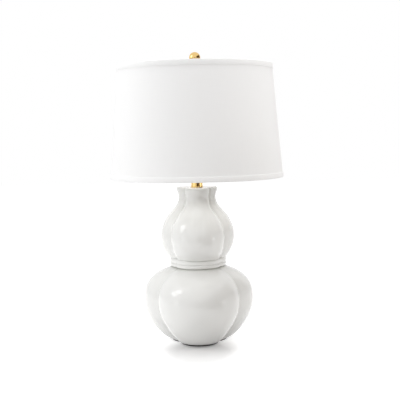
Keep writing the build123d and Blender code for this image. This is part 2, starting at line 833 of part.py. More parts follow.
# ---------------------------------------------------------------- sizes to read back
print("total height", round(finial_top_z, 2), "shade from", round(shade_bottom_z, 2), "to", round(shade_top_z, 2))
print("saddle seat", round(saddle_z, 2), "socket shell top", round(shell_top_z, 2), "knob level", round(switch_z, 2))
print("bulb thread", round(interior_top_z + thread_wall, 2), "to", round(interior_top_z + thread_wall + thread_length, 2))
print("cord inlet level", round(inlet_z, 2), "from y", round(inlet_inner_y, 2), "to", round(inlet_face_y, 2))
print("ferrule x", round(ferrule_x, 2), "leg x", round(leg_x, 2), "arm level", round(arm_z, 2))
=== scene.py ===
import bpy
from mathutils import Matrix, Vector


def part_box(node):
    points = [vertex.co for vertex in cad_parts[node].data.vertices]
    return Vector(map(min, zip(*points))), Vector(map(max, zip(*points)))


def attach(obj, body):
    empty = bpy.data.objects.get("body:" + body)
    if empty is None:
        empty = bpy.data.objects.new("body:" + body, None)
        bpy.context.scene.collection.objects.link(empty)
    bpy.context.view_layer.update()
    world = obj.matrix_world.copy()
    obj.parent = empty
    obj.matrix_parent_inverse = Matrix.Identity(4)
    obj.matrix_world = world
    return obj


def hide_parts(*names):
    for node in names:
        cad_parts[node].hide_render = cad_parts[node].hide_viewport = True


bl_info = {
    "name": "Double gourd table lamp",
    "version": (1, 0, 0),
    "blender": (4, 5, 0),
    "location": "3D View > Sidebar > Lamp",
    "description": "Finishes the lamp in porcelain, brass, felt and cloth, in a plain studio",
    "category": "Object",
}

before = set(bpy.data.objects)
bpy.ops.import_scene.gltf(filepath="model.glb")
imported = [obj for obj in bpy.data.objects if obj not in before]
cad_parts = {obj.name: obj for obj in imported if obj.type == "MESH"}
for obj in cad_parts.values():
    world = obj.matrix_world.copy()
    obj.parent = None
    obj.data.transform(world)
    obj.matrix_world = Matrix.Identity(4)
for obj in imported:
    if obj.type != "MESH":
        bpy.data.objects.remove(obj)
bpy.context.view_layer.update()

from math import atan2, cos, hypot, pi, radians, sin

import bmesh
import bpy
from mathutils import Matrix, Vector

MM = 0.001
# points that lie closer than this are one point
MERGE_DISTANCE = 0.01 * MM


def linear(hex_colour):
    """an sRGB colour such as "F2F1EC" as linear red, green, blue and alpha"""
    values = [int(hex_colour[i : i + 2], 16) / 255 for i in (0, 2, 4)]
    values = [v / 12.92 if v <= 0.04045 else ((v + 0.055) / 1.055) ** 2.4 for v in values]
    return (*values, 1.0)


# ---------------------------------------------------------------- what a user may change
def colour_property(name, description, hex_colour):
    return bpy.props.FloatVectorProperty(
        name=name,
        description=description,
        subtype="COLOR",
        size=4,
        min=0,
        max=1,
        default=linear(hex_colour),
    )


def length_property(name, description, metres):
    return bpy.props.FloatProperty(
        name=name, description=description, default=metres, min=0, subtype="DISTANCE", unit="LENGTH"
    )


def power_property(name, description, watts):
    return bpy.props.FloatProperty(name=name, description=description, default=watts, min=0, unit="POWER")


def strength_property(name, description, strength):
    return bpy.props.FloatProperty(
        name=name, description=description, default=strength, min=0, soft_max=1, subtype="FACTOR"
    )


class LampColours(bpy.types.PropertyGroup):
    """Colours of the lamp's finishes"""

    glaze: colour_property("Glaze", "White body seen through a clear glaze", "E8E8E6")
    # painted shade: this darker colour is laid into the creases by occlusion, for pooled glaze and for the
    # shade there
    glaze_pooled_crease_shade: colour_property("Pooled glaze", "The glaze where it runs thick in a crease", "CACBC5")
    cloth: colour_property("Cloth", "Bleached cloth of the shade and its tapes", "F2F2F2")
    lining: colour_property("Lining", "Styrene sheet behind the cloth", "F1F0EC")
    wire: colour_property("Wire", "Powder coat on the rings and the spider", "E9E8E4")
    brass: colour_property("Brass", "Polished brass under lacquer", "F0CB85")
    contact_brass: colour_property("Contact brass", "Plain brass of the terminals", "D9B36A")
    zinc: colour_property("Zinc", "Bright zinc plate on steel", "C3C6C9")
    aluminium: colour_property("Aluminium", "Rolled aluminium of the bulb thread", "D6D8DA")
    fibre: colour_property("Fibre", "Vulcanised fibre sleeve", "6B5F52")
    phenolic: colour_property("Phenolic", "Moulded socket interior", "2A2320")
    knob: colour_property("Knob", "Moulded switch knob", "17171A")
    nylon: colour_property("Nylon", "Moulded cord bushing", "DEDDD6")
    felt: colour_property("Felt", "Wool felt under the foot", "141416")
    floor: colour_property("Floor", "Paper that the lamp stands on", "E6E6E6")
    flag: colour_property("Flag", "Dark cards that only the brass and the glaze mirror", "6B5A45")


class LampSizes(bpy.types.PropertyGroup):
    """Sizes of the details that the finishes add"""

    thread_spacing: length_property("Thread spacing", "Drawn distance between two threads", 1.1 * MM)
    tape_thickness: length_property("Tape thickness", "Thickness of the folded tape on the rims", 1.4 * MM)
    cloth_thickness: length_property("Cloth thickness", "Thickness of the laminated cloth", 0.8 * MM)
    seam_rise: length_property("Seam rise", "How far the lap at the back stands up", 0.5 * MM)
    bulb_thread_pitch: length_property("Bulb thread pitch", "Rise of the thread in one turn", 3.63 * MM)
    bulb_thread_depth: length_property("Bulb thread depth", "Depth of the rolled thread", 0.7 * MM)
    felt_rounding: length_property("Felt rounding", "Rounding of the felt's cut edge", 0.6 * MM)


class LampStudio(bpy.types.PropertyGroup):
    """Strengths of the studio's light"""

    sky: strength_property("Sky", "Strength of the even light all round", 0.58)
    window_power: power_property("Window", "Window high on the left, which the glaze mirrors", 7.0)
    left_power: power_property("Left fill", "Large soft light on the left", 6.8)
    right_power: power_property("Right side", "Soft light on the right, beside the shade", 4.8)
    back_power: power_property("Behind", "Large soft light behind", 5.0)
    glint_power: power_property("Glints", "Small low light on each side, which the brass mirrors", 0.8)
    top_power: power_property("Top fill", "Large soft light overhead", 28)
    # painted glow and shadow: glow added to the paper for the eye, weak in a patch at the foot and strong
    # farther out, paints the shadow's shape
    painted_shadow_glow: strength_property(
        "Shadow lift", "What is added to the paper's tone at the foot, for the eye", 0.11
    )
    painted_floor_glow: strength_property(
        "Floor lift", "What is added to the paper's tone farther out, for the eye", 0.65
    )


# ---------------------------------------------------------------- shaders
def add_node(tree, kind, inputs=(), **settings):
    """adds a shader node with its settings; an input is a value or another node's output"""
    node = tree.nodes.new("ShaderNode" + kind)
    for name, value in settings.items():
        setattr(node, name, value)
    for key, value in dict(inputs).items():
        socket = node.inputs[key]
        if isinstance(value, bpy.types.NodeSocket):
            tree.links.new(value, socket)
        else:
            socket.default_value = value
    return node


def start_material(name):
    """an empty material and its node tree"""
    material = bpy.data.materials.new(name)
    material.use_nodes = True
    material.node_tree.nodes.clear()
    return material, material.node_tree


def finish_material(material, inputs):
    """gives a material its surface shader"""
    tree = material.node_tree
    shader = add_node(tree, "BsdfPrincipled", inputs)
    add_node(tree, "OutputMaterial", {"Surface": shader.outputs["BSDF"]})
    return material


def darker(colour, share):
    """the colour with only a share of its light"""
    return [value * share for value in colour[:3]] + [1]


def glazed_porcelain(colours):
    """Slip-cast porcelain under a clear glaze, fired glossy. The glaze runs thin on the ridges and is
    painted darker in the creases, where the surface is closed in: partly glaze that pools there and partly
    painted shade. Its skin has a faint orange peel, and the melt draws every edge round."""
    crease_shade_reach = 9 * MM
    cloud_size = 40 * MM
    wave_size, wave_depth = 30 * MM, 0.5 * MM
    peel_size, peel_depth = 2.5 * MM, 0.03 * MM
    edge_radius = 0.8 * MM
    material, tree = start_material("glazed_porcelain")
    place = add_node(tree, "TexCoord").outputs["Object"]
    # painted shade: the colour goes darker where the surface is closed in, within reach of a crease, for
    # the glaze that pools there and for the shade that falls there
    crease_occlusion = add_node(tree, "AmbientOcclusion", {"Distance": crease_shade_reach}, samples=8, only_local=True)
    crease_shade_share = add_node(tree, "MapRange", {0: crease_occlusion.outputs["AO"], 1: 0.35, 2: 0.95})
    # the body is faintly clouded
    cloud = add_node(tree, "TexNoise", {"Vector": place, "Scale": 1 / cloud_size, "Detail": 2.0})
    body = add_node(
        tree,
        "Mix",
        {0: cloud.outputs["Fac"], "A": colours.glaze, "B": darker(colours.glaze, 0.975)},
        data_type="RGBA",
    )
    colour = add_node(
        tree,
        "Mix",
        {0: crease_shade_share.outputs["Result"], "A": colours.glaze_pooled_crease_shade, "B": body.outputs["Result"]},
        data_type="RGBA",
    )
    # slow waves come from casting, and the orange peel from firing
    wave = add_node(tree, "TexNoise", {"Vector": place, "Scale": 1 / wave_size, "Detail": 1.0})
    peel = add_node(tree, "TexNoise", {"Vector": place, "Scale": 1 / peel_size, "Detail": 1.0})
    soft_edge = add_node(tree, "Bevel", {"Radius": edge_radius}, samples=4)
    wave_bump = add_node(
        tree,
        "Bump",
        {
            "Height": wave.outputs["Fac"],
            "Strength": 0.25,
            "Distance": wave_depth,
            "Normal": soft_edge.outputs["Normal"],
        },
    )
    peel_bump = add_node(
        tree,
        "Bump",
        {
            "Height": peel.outputs["Fac"],
            "Strength": 0.12,
            "Distance": peel_depth,
            "Normal": wave_bump.outputs["Normal"],
        },
    )
    return finish_material(
        material,
        {
            "Base Color": colour.outputs["Result"],
            "Roughness": 0.05,
            "IOR": 1.52,
            "Normal": peel_bump.outputs["Normal"],
        },
    )


def woven_cloth(colours, sizes):
    """Plain-woven bleached cloth. Matt, with a soft bloom at the edge of sight; slubs thicken a thread here
    and there. Real threads lie 0.5 mm apart and are drawn coarser, at the spacing that shows."""
    slub_length, slub_width = 45 * MM, 2.2 * MM
    relief_depth = 0.1 * MM
    spacing = sizes.thread_spacing
    # a wave texture's band repeats each 2*pi/20 of its scaled length
    band = 2 * pi / 20 / spacing
    material, tree = start_material("woven_cloth")
    place = add_node(tree, "UVMap", uv_map="cloth").outputs["UV"]
    threads = {"Vector": place, "Scale": band, "Distortion": 0.4}
    warp = add_node(tree, "TexWave", threads, bands_direction="X")
    weft = add_node(tree, "TexWave", threads, bands_direction="Y")
    over = add_node(tree, "TexChecker", {"Vector": place, "Scale": 1 / spacing})
    height = add_node(
        tree,
        "Mix",
        {0: over.outputs["Fac"], 2: warp.outputs["Fac"], 3: weft.outputs["Fac"]},
        data_type="FLOAT",
    )
    # slubs run across and up
    across_scale = (1 / slub_length, 1 / slub_width, 1)
    up_scale = (1 / slub_width, 1 / slub_length, 1)
    across = add_node(tree, "Mapping", {"Vector": place, "Scale": across_scale})
    up = add_node(tree, "Mapping", {"Vector": place, "Scale": up_scale})
    slub_across = add_node(tree, "TexNoise", {"Vector": across.outputs[0], "Scale": 1.0, "Detail": 2.0})
    slub_up = add_node(tree, "TexNoise", {"Vector": up.outputs[0], "Scale": 1.0, "Detail": 2.0})
    slub = add_node(
        tree, "Math", {0: slub_across.outputs["Fac"], 1: slub_up.outputs["Fac"]}, operation="ADD"
    ).outputs[0]
    shade = add_node(tree, "MapRange", {0: slub, 1: 0.7, 2: 1.3, 3: 0.985, 4: 1.0})
    colour = add_node(
        tree,
        "Mix",
        {0: 1.0, "A": colours.cloth, "B": shade.outputs[0]},
        data_type="RGBA",
        blend_type="MULTIPLY",
    )
    weave = add_node(tree, "Bump", {"Height": height.outputs[0], "Strength": 0.2, "Distance": relief_depth})
    relief = add_node(
        tree,
        "Bump",
        {"Height": slub, "Strength": 0.12, "Distance": relief_depth, "Normal": weave.outputs[0]},
    )
    return finish_material(
        material,
        {
            "Base Color": colour.outputs["Result"],
            "Roughness": 0.9,
            "Specular IOR Level": 0.2,
            "Normal": relief.outputs[0],
            "Sheen Weight": 0.15,
            "Sheen Roughness": 0.5,
        },
    )


def wool_felt(colours):
    """Pressed wool felt, die cut. Dull, with a fibrous nap that catches a little light."""
    nap_size, nap_depth = 0.9 * MM, 0.4 * MM
    material, tree = start_material("wool_felt")
    place = add_node(tree, "TexCoord").outputs["Object"]
    nap = add_node(
        tree, "TexNoise", {"Vector": place, "Scale": 1 / nap_size, "Detail": 6.0, "Distortion": 1.2}
    )
    fleck = add_node(tree, "MapRange", {0: nap.outputs["Fac"], 1: 0.3, 2: 0.75, 3: 0.75, 4: 1.4})
    colour = add_node(
        tree,
        "Mix",
        {0: 1.0, "A": colours.felt, "B": fleck.outputs[0]},
        data_type="RGBA",
        blend_type="MULTIPLY",
    )
    bump = add_node(tree, "Bump", {"Height": nap.outputs["Fac"], "Strength": 0.8, "Distance": nap_depth})
    return finish_material(
        material,
        {
            "Base Color": colour.outputs["Result"],
            "Roughness": 1.0,
            "Specular IOR Level": 0.1,
            "Normal": bump.outputs[0],
            "Sheen Weight": 0.3,
            "Sheen Roughness": 0.6,
        },
    )


def lacquered_brass(name, colour, line_spacing, roughness):
    """Brass, polished and lacquered. Its tone deepens where it mirrors itself, tool lines too fine to see
    one by one spread the reflection along the axis, and handling leaves faint cloudy patches."""
    patch_size = 12 * MM
    # a line runs round the piece, and hardly changes within a sixth of a metre
    line_length, line_depth = 1 / 6, 0.01 * MM
    edge_radius = 0.25 * MM
    material, tree = start_material(name)
    place = add_node(tree, "TexCoord").outputs["Object"]
    along_lines = (1 / line_length, 1 / line_length, 1 / line_spacing)
    stretched = add_node(tree, "Mapping", {"Vector": place, "Scale": along_lines})
    lines = add_node(tree, "TexNoise", {"Vector": stretched.outputs[0], "Scale": 1.0, "Detail": 3.0})
    patches = add_node(tree, "TexNoise", {"Vector": place, "Scale": 1 / patch_size, "Detail": 3.0})
    dull = add_node(
        tree, "MapRange", {0: patches.outputs["Fac"], 1: 0.35, 2: 0.75, 3: roughness, 4: roughness + 0.07}
    )
    tone = add_node(
        tree, "Mix", {0: patches.outputs["Fac"], "A": colour, "B": darker(colour, 0.93)}, data_type="RGBA"
    )
    soft_edge = add_node(tree, "Bevel", {"Radius": edge_radius}, samples=4)
    bump = add_node(
        tree,
        "Bump",
        {
            "Height": lines.outputs["Fac"],
            "Strength": 0.15,
            "Distance": line_depth,
            "Normal": soft_edge.outputs[0],
        },
    )
    return finish_material(
        material,
        {
            "Base Color": tone.outputs["Result"],
            "Metallic": 1.0,
            "Roughness": dull.outputs[0],
            "Normal": bump.outputs[0],
            "Coat Weight": 0.25,
            "Coat Roughness": 0.06,
        },
    )


def grained_metal(name, colour, grain, roughness):
    """Bare or plated metal with the fine grain that rolling or plating leaves, a little duller between
    grains."""
    grain_depth = 0.02 * MM
    material, tree = start_material(name)
    place = add_node(tree, "TexCoord").outputs["Object"]
    grains = add_node(tree, "TexNoise", {"Vector": place, "Scale": 1 / grain, "Detail": 4.0})
    dull = add_node(
        tree, "MapRange", {0: grains.outputs["Fac"], 1: 0.3, 2: 0.7, 3: roughness, 4: roughness + 0.15}
    )
    tone = add_node(
        tree, "Mix", {0: grains.outputs["Fac"], "A": colour, "B": darker(colour, 0.85)}, data_type="RGBA"
    )
    bump = add_node(
        tree, "Bump", {"Height": grains.outputs["Fac"], "Strength": 0.2, "Distance": grain_depth}
    )
    return finish_material(
        material,
        {
            "Base Color": tone.outputs["Result"],
            "Metallic": 1.0,
            "Roughness": dull.outputs[0],
            "Normal": bump.outputs[0],
        },
    )


def moulded(name, colour, texture, depth, roughness):
    """A moulded or coated skin: even colour with a faint mottle, and the fine texture that the mould, the
    powder or the roller gives it."""
    mottle_size = 25 * MM
    material, tree = start_material(name)
    place = add_node(tree, "TexCoord").outputs["Object"]
    skin = add_node(tree, "TexNoise", {"Vector": place, "Scale": 1 / texture, "Detail": 2.0})
    mottle = add_node(tree, "TexNoise", {"Vector": place, "Scale": 1 / mottle_size, "Detail": 2.0})
    tone = add_node(
        tree, "Mix", {0: mottle.outputs["Fac"], "A": colour, "B": darker(colour, 0.94)}, data_type="RGBA"
    )
    dull = add_node(
        tree, "MapRange", {0: mottle.outputs["Fac"], 1: 0.3, 2: 0.7, 3: roughness, 4: roughness + 0.08}
    )
    bump = add_node(tree, "Bump", {"Height": skin.outputs["Fac"], "Strength": 0.25, "Distance": depth})
    return finish_material(
        material,
        {
            "Base Color": tone.outputs["Result"],
            "Roughness": dull.outputs[0],
            "IOR": 1.5,
            "Normal": bump.outputs[0],
        },
    )


def dress(material, *nodes):
    """gives carried-over solids their finish"""
    for name in nodes:
        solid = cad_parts[name]
        for slot in solid.material_slots:
            slot.material = material


# ---------------------------------------------------------------- modelling helpers
def deselect():
    """nothing is selected or active"""
    if bpy.context.object and bpy.context.object.mode != "OBJECT":
        bpy.ops.object.mode_set(mode="OBJECT")
    bpy.ops.object.select_all(action="DESELECT")


def activate(piece):
    """only this piece is selected, and it is active"""
    deselect()
    piece.select_set(True)
    bpy.context.view_layer.objects.active = piece


def start_ring(name, vertices, radius, height):
    """a bare circle round the lamp's axis, in edit mode and all selected"""
    deselect()
    bpy.ops.mesh.primitive_circle_add(vertices=vertices, radius=radius, location=(0, 0, height))
    ring = bpy.context.object
    ring.name = name
    ring.data.name = name
    bpy.ops.object.transform_apply(location=True, rotation=True, scale=True)
    bpy.ops.object.mode_set(mode="EDIT")
    bpy.ops.mesh.select_mode(type="VERT")
    bpy.ops.mesh.select_all(action="SELECT")
    return ring


def extrude_ring(rise, radius_from, radius_to, height):
    """draws the selected ring on, up or down and in or out, and leaves the new ring selected"""
    bpy.ops.mesh.extrude_region_move(TRANSFORM_OT_translate={"value": (0, 0, rise)})
    ratio = radius_to / radius_from
    bpy.ops.transform.resize(value=(ratio, ratio, 1), center_override=(0, 0, height + rise))


def apply_modifier(piece, kind, **settings):
    """adds a modifier with its settings and applies it"""
    activate(piece)
    modifier = piece.modifiers.new(kind.title(), kind)
    for name, value in settings.items():
        setattr(modifier, name, value)
    bpy.ops.object.modifier_apply(modifier=modifier.name)


def round_corners(piece, width, segments, angle):
    """rounds the edges where two faces meet at more than the angle"""
    apply_modifier(
        piece,
        "BEVEL",
        width=width,
        segments=segments,
        limit_method="ANGLE",
        angle_limit=radians(angle),
    )


def smooth(piece, angle):
    """smooth shading, sharp where two faces meet at more than the angle"""
    activate(piece)
    bpy.ops.object.shade_smooth_by_angle(angle=radians(angle))


def pick(test, domain="faces"):
    """selects the faces or edges of the mesh in edit mode that pass a test on their middle"""
    bpy.ops.mesh.select_mode(type="FACE" if domain == "faces" else "EDGE")
    bpy.ops.mesh.select_all(action="DESELECT")
    mesh = bmesh.from_edit_mesh(bpy.context.object.data)
    if domain == "faces":
        for face in mesh.faces:
            face.select_set(test(face.calc_center_median(), face.normal))
    else:
        for edge in mesh.edges:
            middle = (edge.verts[0].co + edge.verts[1].co) / 2
            edge.select_set(test(middle, edge))
    mesh.select_flush_mode()
    bmesh.update_edit_mesh(bpy.context.object.data)


def outward(piece):
    """merges doubled points and turns every face outwards"""
    activate(piece)
    bpy.ops.object.mode_set(mode="EDIT")
    bpy.ops.mesh.select_all(action="SELECT")
    bpy.ops.mesh.remove_doubles(threshold=MERGE_DISTANCE)
    bpy.ops.mesh.normals_make_consistent(inside=False)
    bpy.ops.object.mode_set(mode="OBJECT")


def lay_cloth_map(piece):
    """a map in metres: along the rim from the front, and up the slope"""
    layer = piece.data.uv_layers.new(name="cloth")
    vertices = piece.data.vertices
    for face in piece.data.polygons:
        middle = face.center
        turn_of_middle = atan2(middle.x, -middle.y)
        for index in face.loop_indices:
            point = vertices[piece.data.loops[index].vertex_index].co
            turn = atan2(point.x, -point.y)
            if turn - turn_of_middle > pi:
                turn -= 2 * pi
            if turn_of_middle - turn > pi:
                turn += 2 * pi
            radius = hypot(point.x, point.y)
            layer.data[index].uv = (turn * SHADE_MEAN_RADIUS, point.z + (SHADE_MEAN_RADIUS - radius))


def hand_over(piece, material, body, slot, *nodes):
    """finishes a new piece: its material, the body it moves with and the solids it stands for, which it
    hides; the slot is not used
    """
    piece.data.materials.clear()
    piece.data.materials.append(material)
    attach(piece, body)
    if nodes:
        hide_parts(*nodes)
    return piece


# ---------------------------------------------------------------- sizes read from the frame
COVER_LOW, COVER_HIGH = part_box("shade_fabric")
TOP_TAPE_LOW, TOP_TAPE_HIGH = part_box("shade_top_trim")
BOTTOM_TAPE_LOW, BOTTOM_TAPE_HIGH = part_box("shade_bottom_trim")
SHADE_BOTTOM = BOTTOM_TAPE_LOW[2]
SHADE_TOP = TOP_TAPE_HIGH[2]
# the trims stand proud of the cover by their own thickness, and the cover tapers in a straight line
TRIM_STAND = 1.6 * MM
TAPER = (COVER_HIGH[0] - (TOP_TAPE_HIGH[0] - TRIM_STAND)) / (TOP_TAPE_LOW[2] - COVER_LOW[2])
SHADE_MEAN_RADIUS = (COVER_HIGH[0] + TOP_TAPE_HIGH[0]) / 2
RING_STEPS = 192

# ---------------------------------------------------------------- the studio, in metres round the lamp
# the paper floor
FLOOR_WIDTH = 8.0
FLOOR_FRONT = -1.10
FLOOR_BACK = 6.0
# painted shadow at the foot: a patch in which the paper's painted glow stays weak, so that its shade shows;
# its depth over its width, its middle, and where its fading starts and ends
PAINTED_SHADOW_SQUEEZE = 1.25
PAINTED_SHADOW_CENTRE = -0.13
PAINTED_SHADOW_CORE = 0.07
PAINTED_SHADOW_EDGE = 0.17
# the dark cloth that lies below the floor's front edge, and the card that it goes up into
CLOTH_LEVEL = -0.30
FLAG_PLACE = -2.70
FLAG_LEFT = -0.35
FLAG_RIGHT = 0.8
FLAG_HEIGHT = 0.75
# the dark screens on the right: the two ends of their lower edge, and their height
LOW_SCREEN = ((0.22, -0.76, 0.0), (0.54, -0.32, 0.0), 0.42)
HIGH_SCREEN = ((2.30, -3.20, 0.42), (2.30, 1.40, 0.42), 1.90)
# the height on the lamp's axis that every light faces
LIGHT_TARGET = 0.35
# the viewer: lens and sensor in millimetres, and angles in degrees
CAMERA_PLACE = (0.007, -2.071, 0.5336)
CAMERA_LENS = 74.83
CAMERA_SENSOR = 36
CAMERA_PITCH = 4.96
CAMERA_ROLL = -1.0


def cover_radius(height):
    """outside radius of the cover at a height"""
    return COVER_HIGH[0] - TAPER * (height - COVER_LOW[2])


# ---------------------------------------------------------------- operators, one for each group of pieces
class LAMP_OT_body(bpy.types.Operator):
    """Glaze the porcelain gourd and lay the felt under its foot"""

    bl_idname = "lamp.body"
    bl_label = "Porcelain body"

    def execute(self, context):
        colours, sizes = context.scene.lamp_colours, context.scene.lamp_sizes
        dress(glazed_porcelain(colours), "ceramic_body")
        pad = self.copy_pad(context)
        self.round_edge(pad, sizes)
        hand_over(pad, wool_felt(colours), "base", "felt", "felt_pad")
        return {"FINISHED"}

    def copy_pad(self, context):
        """the felt, cut a little inside the foot: a copy of the solid, with a mesh of its own"""
        deselect()
        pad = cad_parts["felt_pad"].copy()
        pad.data = pad.data.copy()
        for key in list(pad.keys()):
            if key.startswith("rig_"):
                del pad[key]
        pad.parent = None
        pad.name = pad.data.name = "felt_sole"
        context.scene.collection.objects.link(pad)
        return pad

    def round_edge(self, pad, sizes):
        """the felt's cut edge, slightly rounded, on a mesh whose flat stretches are one face each"""
        activate(pad)
        bpy.ops.mesh.customdata_custom_splitnormals_clear()
        outward(pad)
        bpy.ops.object.mode_set(mode="EDIT")
        bpy.ops.mesh.select_all(action="SELECT")
        bpy.ops.mesh.dissolve_limited(angle_limit=radians(2))
        bpy.ops.object.mode_set(mode="OBJECT")
        round_corners(pad, width=sizes.felt_rounding, segments=3, angle=50)
        smooth(pad, angle=40)


class LAMP_OT_hardware(bpy.types.Operator):
    """Finish the pipe, the washers, the nut, the screw, the switch's shaft and the cord bushing"""

    bl_idname = "lamp.hardware"
    bl_label = "Pipe and hardware"

    def execute(self, context):
        colours = context.scene.lamp_colours
        zinc = grained_metal("zinc_plated_steel", colours.zinc, grain=1.5 * MM, roughness=0.28)
        dress(zinc, "lamp_pipe", "base_washer", "lock_washer", "base_nut", "cap_set_screw", "switch_shaft")
        nylon = moulded("moulded_nylon", colours.nylon, texture=0.4 * MM, depth=0.02 * MM, roughness=0.45)
        dress(nylon, "cord_bushing")
        return {"FINISHED"}


class LAMP_OT_brass(bpy.types.Operator):
    """Polish the check ring, the neck, the saddle, the harp, its ferrules and the finial"""

    bl_idname = "lamp.brass"
    bl_label = "Brass"

    def execute(self, context):
        colours = context.scene.lamp_colours
        polished = lacquered_brass("polished_brass", colours.brass, line_spacing=0.15 * MM, roughness=0.1)
        dress(polished, "check_ring", "brass_neck", "harp_saddle", "harp_loop", "harp_stud")
        dress(polished, "ferrule_right", "ferrule_left")
        turned = lacquered_brass("turned_brass", colours.brass, line_spacing=0.3 * MM, roughness=0.07)
        dress(turned, "finial_base", "finial_ball")
        return {"FINISHED"}


class LAMP_OT_socket(bpy.types.Operator):
    """Finish the socket and roll its bulb thread"""

    bl_idname = "lamp.socket"
    bl_label = "Socket and switch"

    def execute(self, context):
        colours, sizes = context.scene.lamp_colours, context.scene.lamp_sizes
        drawn = lacquered_brass("drawn_brass", colours.brass, line_spacing=0.2 * MM, roughness=0.14)
        dress(drawn, "socket_cap", "socket_shell")
        contacts = grained_metal("contact_brass", colours.contact_brass, grain=1.0 * MM, roughness=0.3)
        dress(contacts, "terminal_screws", "centre_contact")
        fibre = moulded(
            "vulcanised_fibre", colours.fibre, texture=0.6 * MM, depth=0.05 * MM, roughness=0.65
        )
        dress(fibre, "socket_liner")
        phenolic = moulded(
            "moulded_phenolic", colours.phenolic, texture=0.3 * MM, depth=0.01 * MM, roughness=0.35
        )
        dress(phenolic, "socket_interior")
        knob = moulded("moulded_knob", colours.knob, texture=0.5 * MM, depth=0.01 * MM, roughness=0.18)
        dress(knob, "switch_knob")
        aluminium = grained_metal("rolled_aluminium", colours.aluminium, grain=1.2 * MM, roughness=0.25)
        self.roll_thread(aluminium, sizes)
        return {"FINISHED"}

    def roll_thread(self, material, sizes):
        """a wavy line of one pitch, turned up the axis, cut level at both ends and closed in at its foot"""
        low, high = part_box("screw_shell")
        outer = high[0]
        pitch, depth = sizes.bulb_thread_pitch, sizes.bulb_thread_depth
        wall = 0.3 * MM
        # the foot closes in to this, round the centre contact
        well_radius = 4.6 * MM
        wave_steps, turn_steps = 8, 48
        deselect()
        bpy.ops.mesh.primitive_plane_add(size=MM, location=(outer - wall, 0, low[2] - pitch))
        shell = bpy.context.object
        shell.name = shell.data.name = "threaded_shell"
        bpy.ops.object.transform_apply(location=True, rotation=True, scale=True)
        bpy.ops.object.mode_set(mode="EDIT")
        bpy.ops.mesh.select_all(action="SELECT")
        bpy.ops.mesh.merge(type="CENTER")
        waves = [depth / 2 * cos(2 * pi * step / wave_steps) for step in range(wave_steps + 1)]
        for wave_here, wave_next in zip(waves, waves[1:]):
            move = (wave_next - wave_here, 0, pitch / wave_steps)
            bpy.ops.mesh.extrude_region_move(TRANSFORM_OT_translate={"value": move})
        bpy.ops.object.mode_set(mode="OBJECT")
        # it starts a pitch too low and ends too high, to be cut level
        spare_turns = 3
        turns = int((high[2] - low[2]) / pitch) + spare_turns
        apply_modifier(
            shell,
            "SCREW",
            axis="Z",
            screw_offset=pitch,
            iterations=turns,
            steps=turn_steps,
            render_steps=turn_steps,
            use_merge_vertices=True,
            merge_threshold=MERGE_DISTANCE,
        )
        bpy.ops.object.mode_set(mode="EDIT")
        bpy.ops.mesh.select_mode(type="VERT")
        for level, clear_above in ((low[2] + wall, False), (high[2], True)):
            bpy.ops.mesh.select_all(action="SELECT")
            bpy.ops.mesh.bisect(
                plane_co=(0, 0, level),
                plane_no=(0, 0, 1),
                clear_outer=clear_above,
                clear_inner=not clear_above,
            )
        pick(lambda middle, edge: edge.is_boundary and middle.z < low[2] + 2 * wall, "edges")
        extrude_ring(0, outer - wall, well_radius, low[2] + wall)
        bpy.ops.object.mode_set(mode="OBJECT")
        outward(shell)
        apply_modifier(shell, "SOLIDIFY", thickness=wall, offset=0)
        smooth(shell, angle=50)
        hand_over(shell, material, "base", "thread_aluminium", "screw_shell")


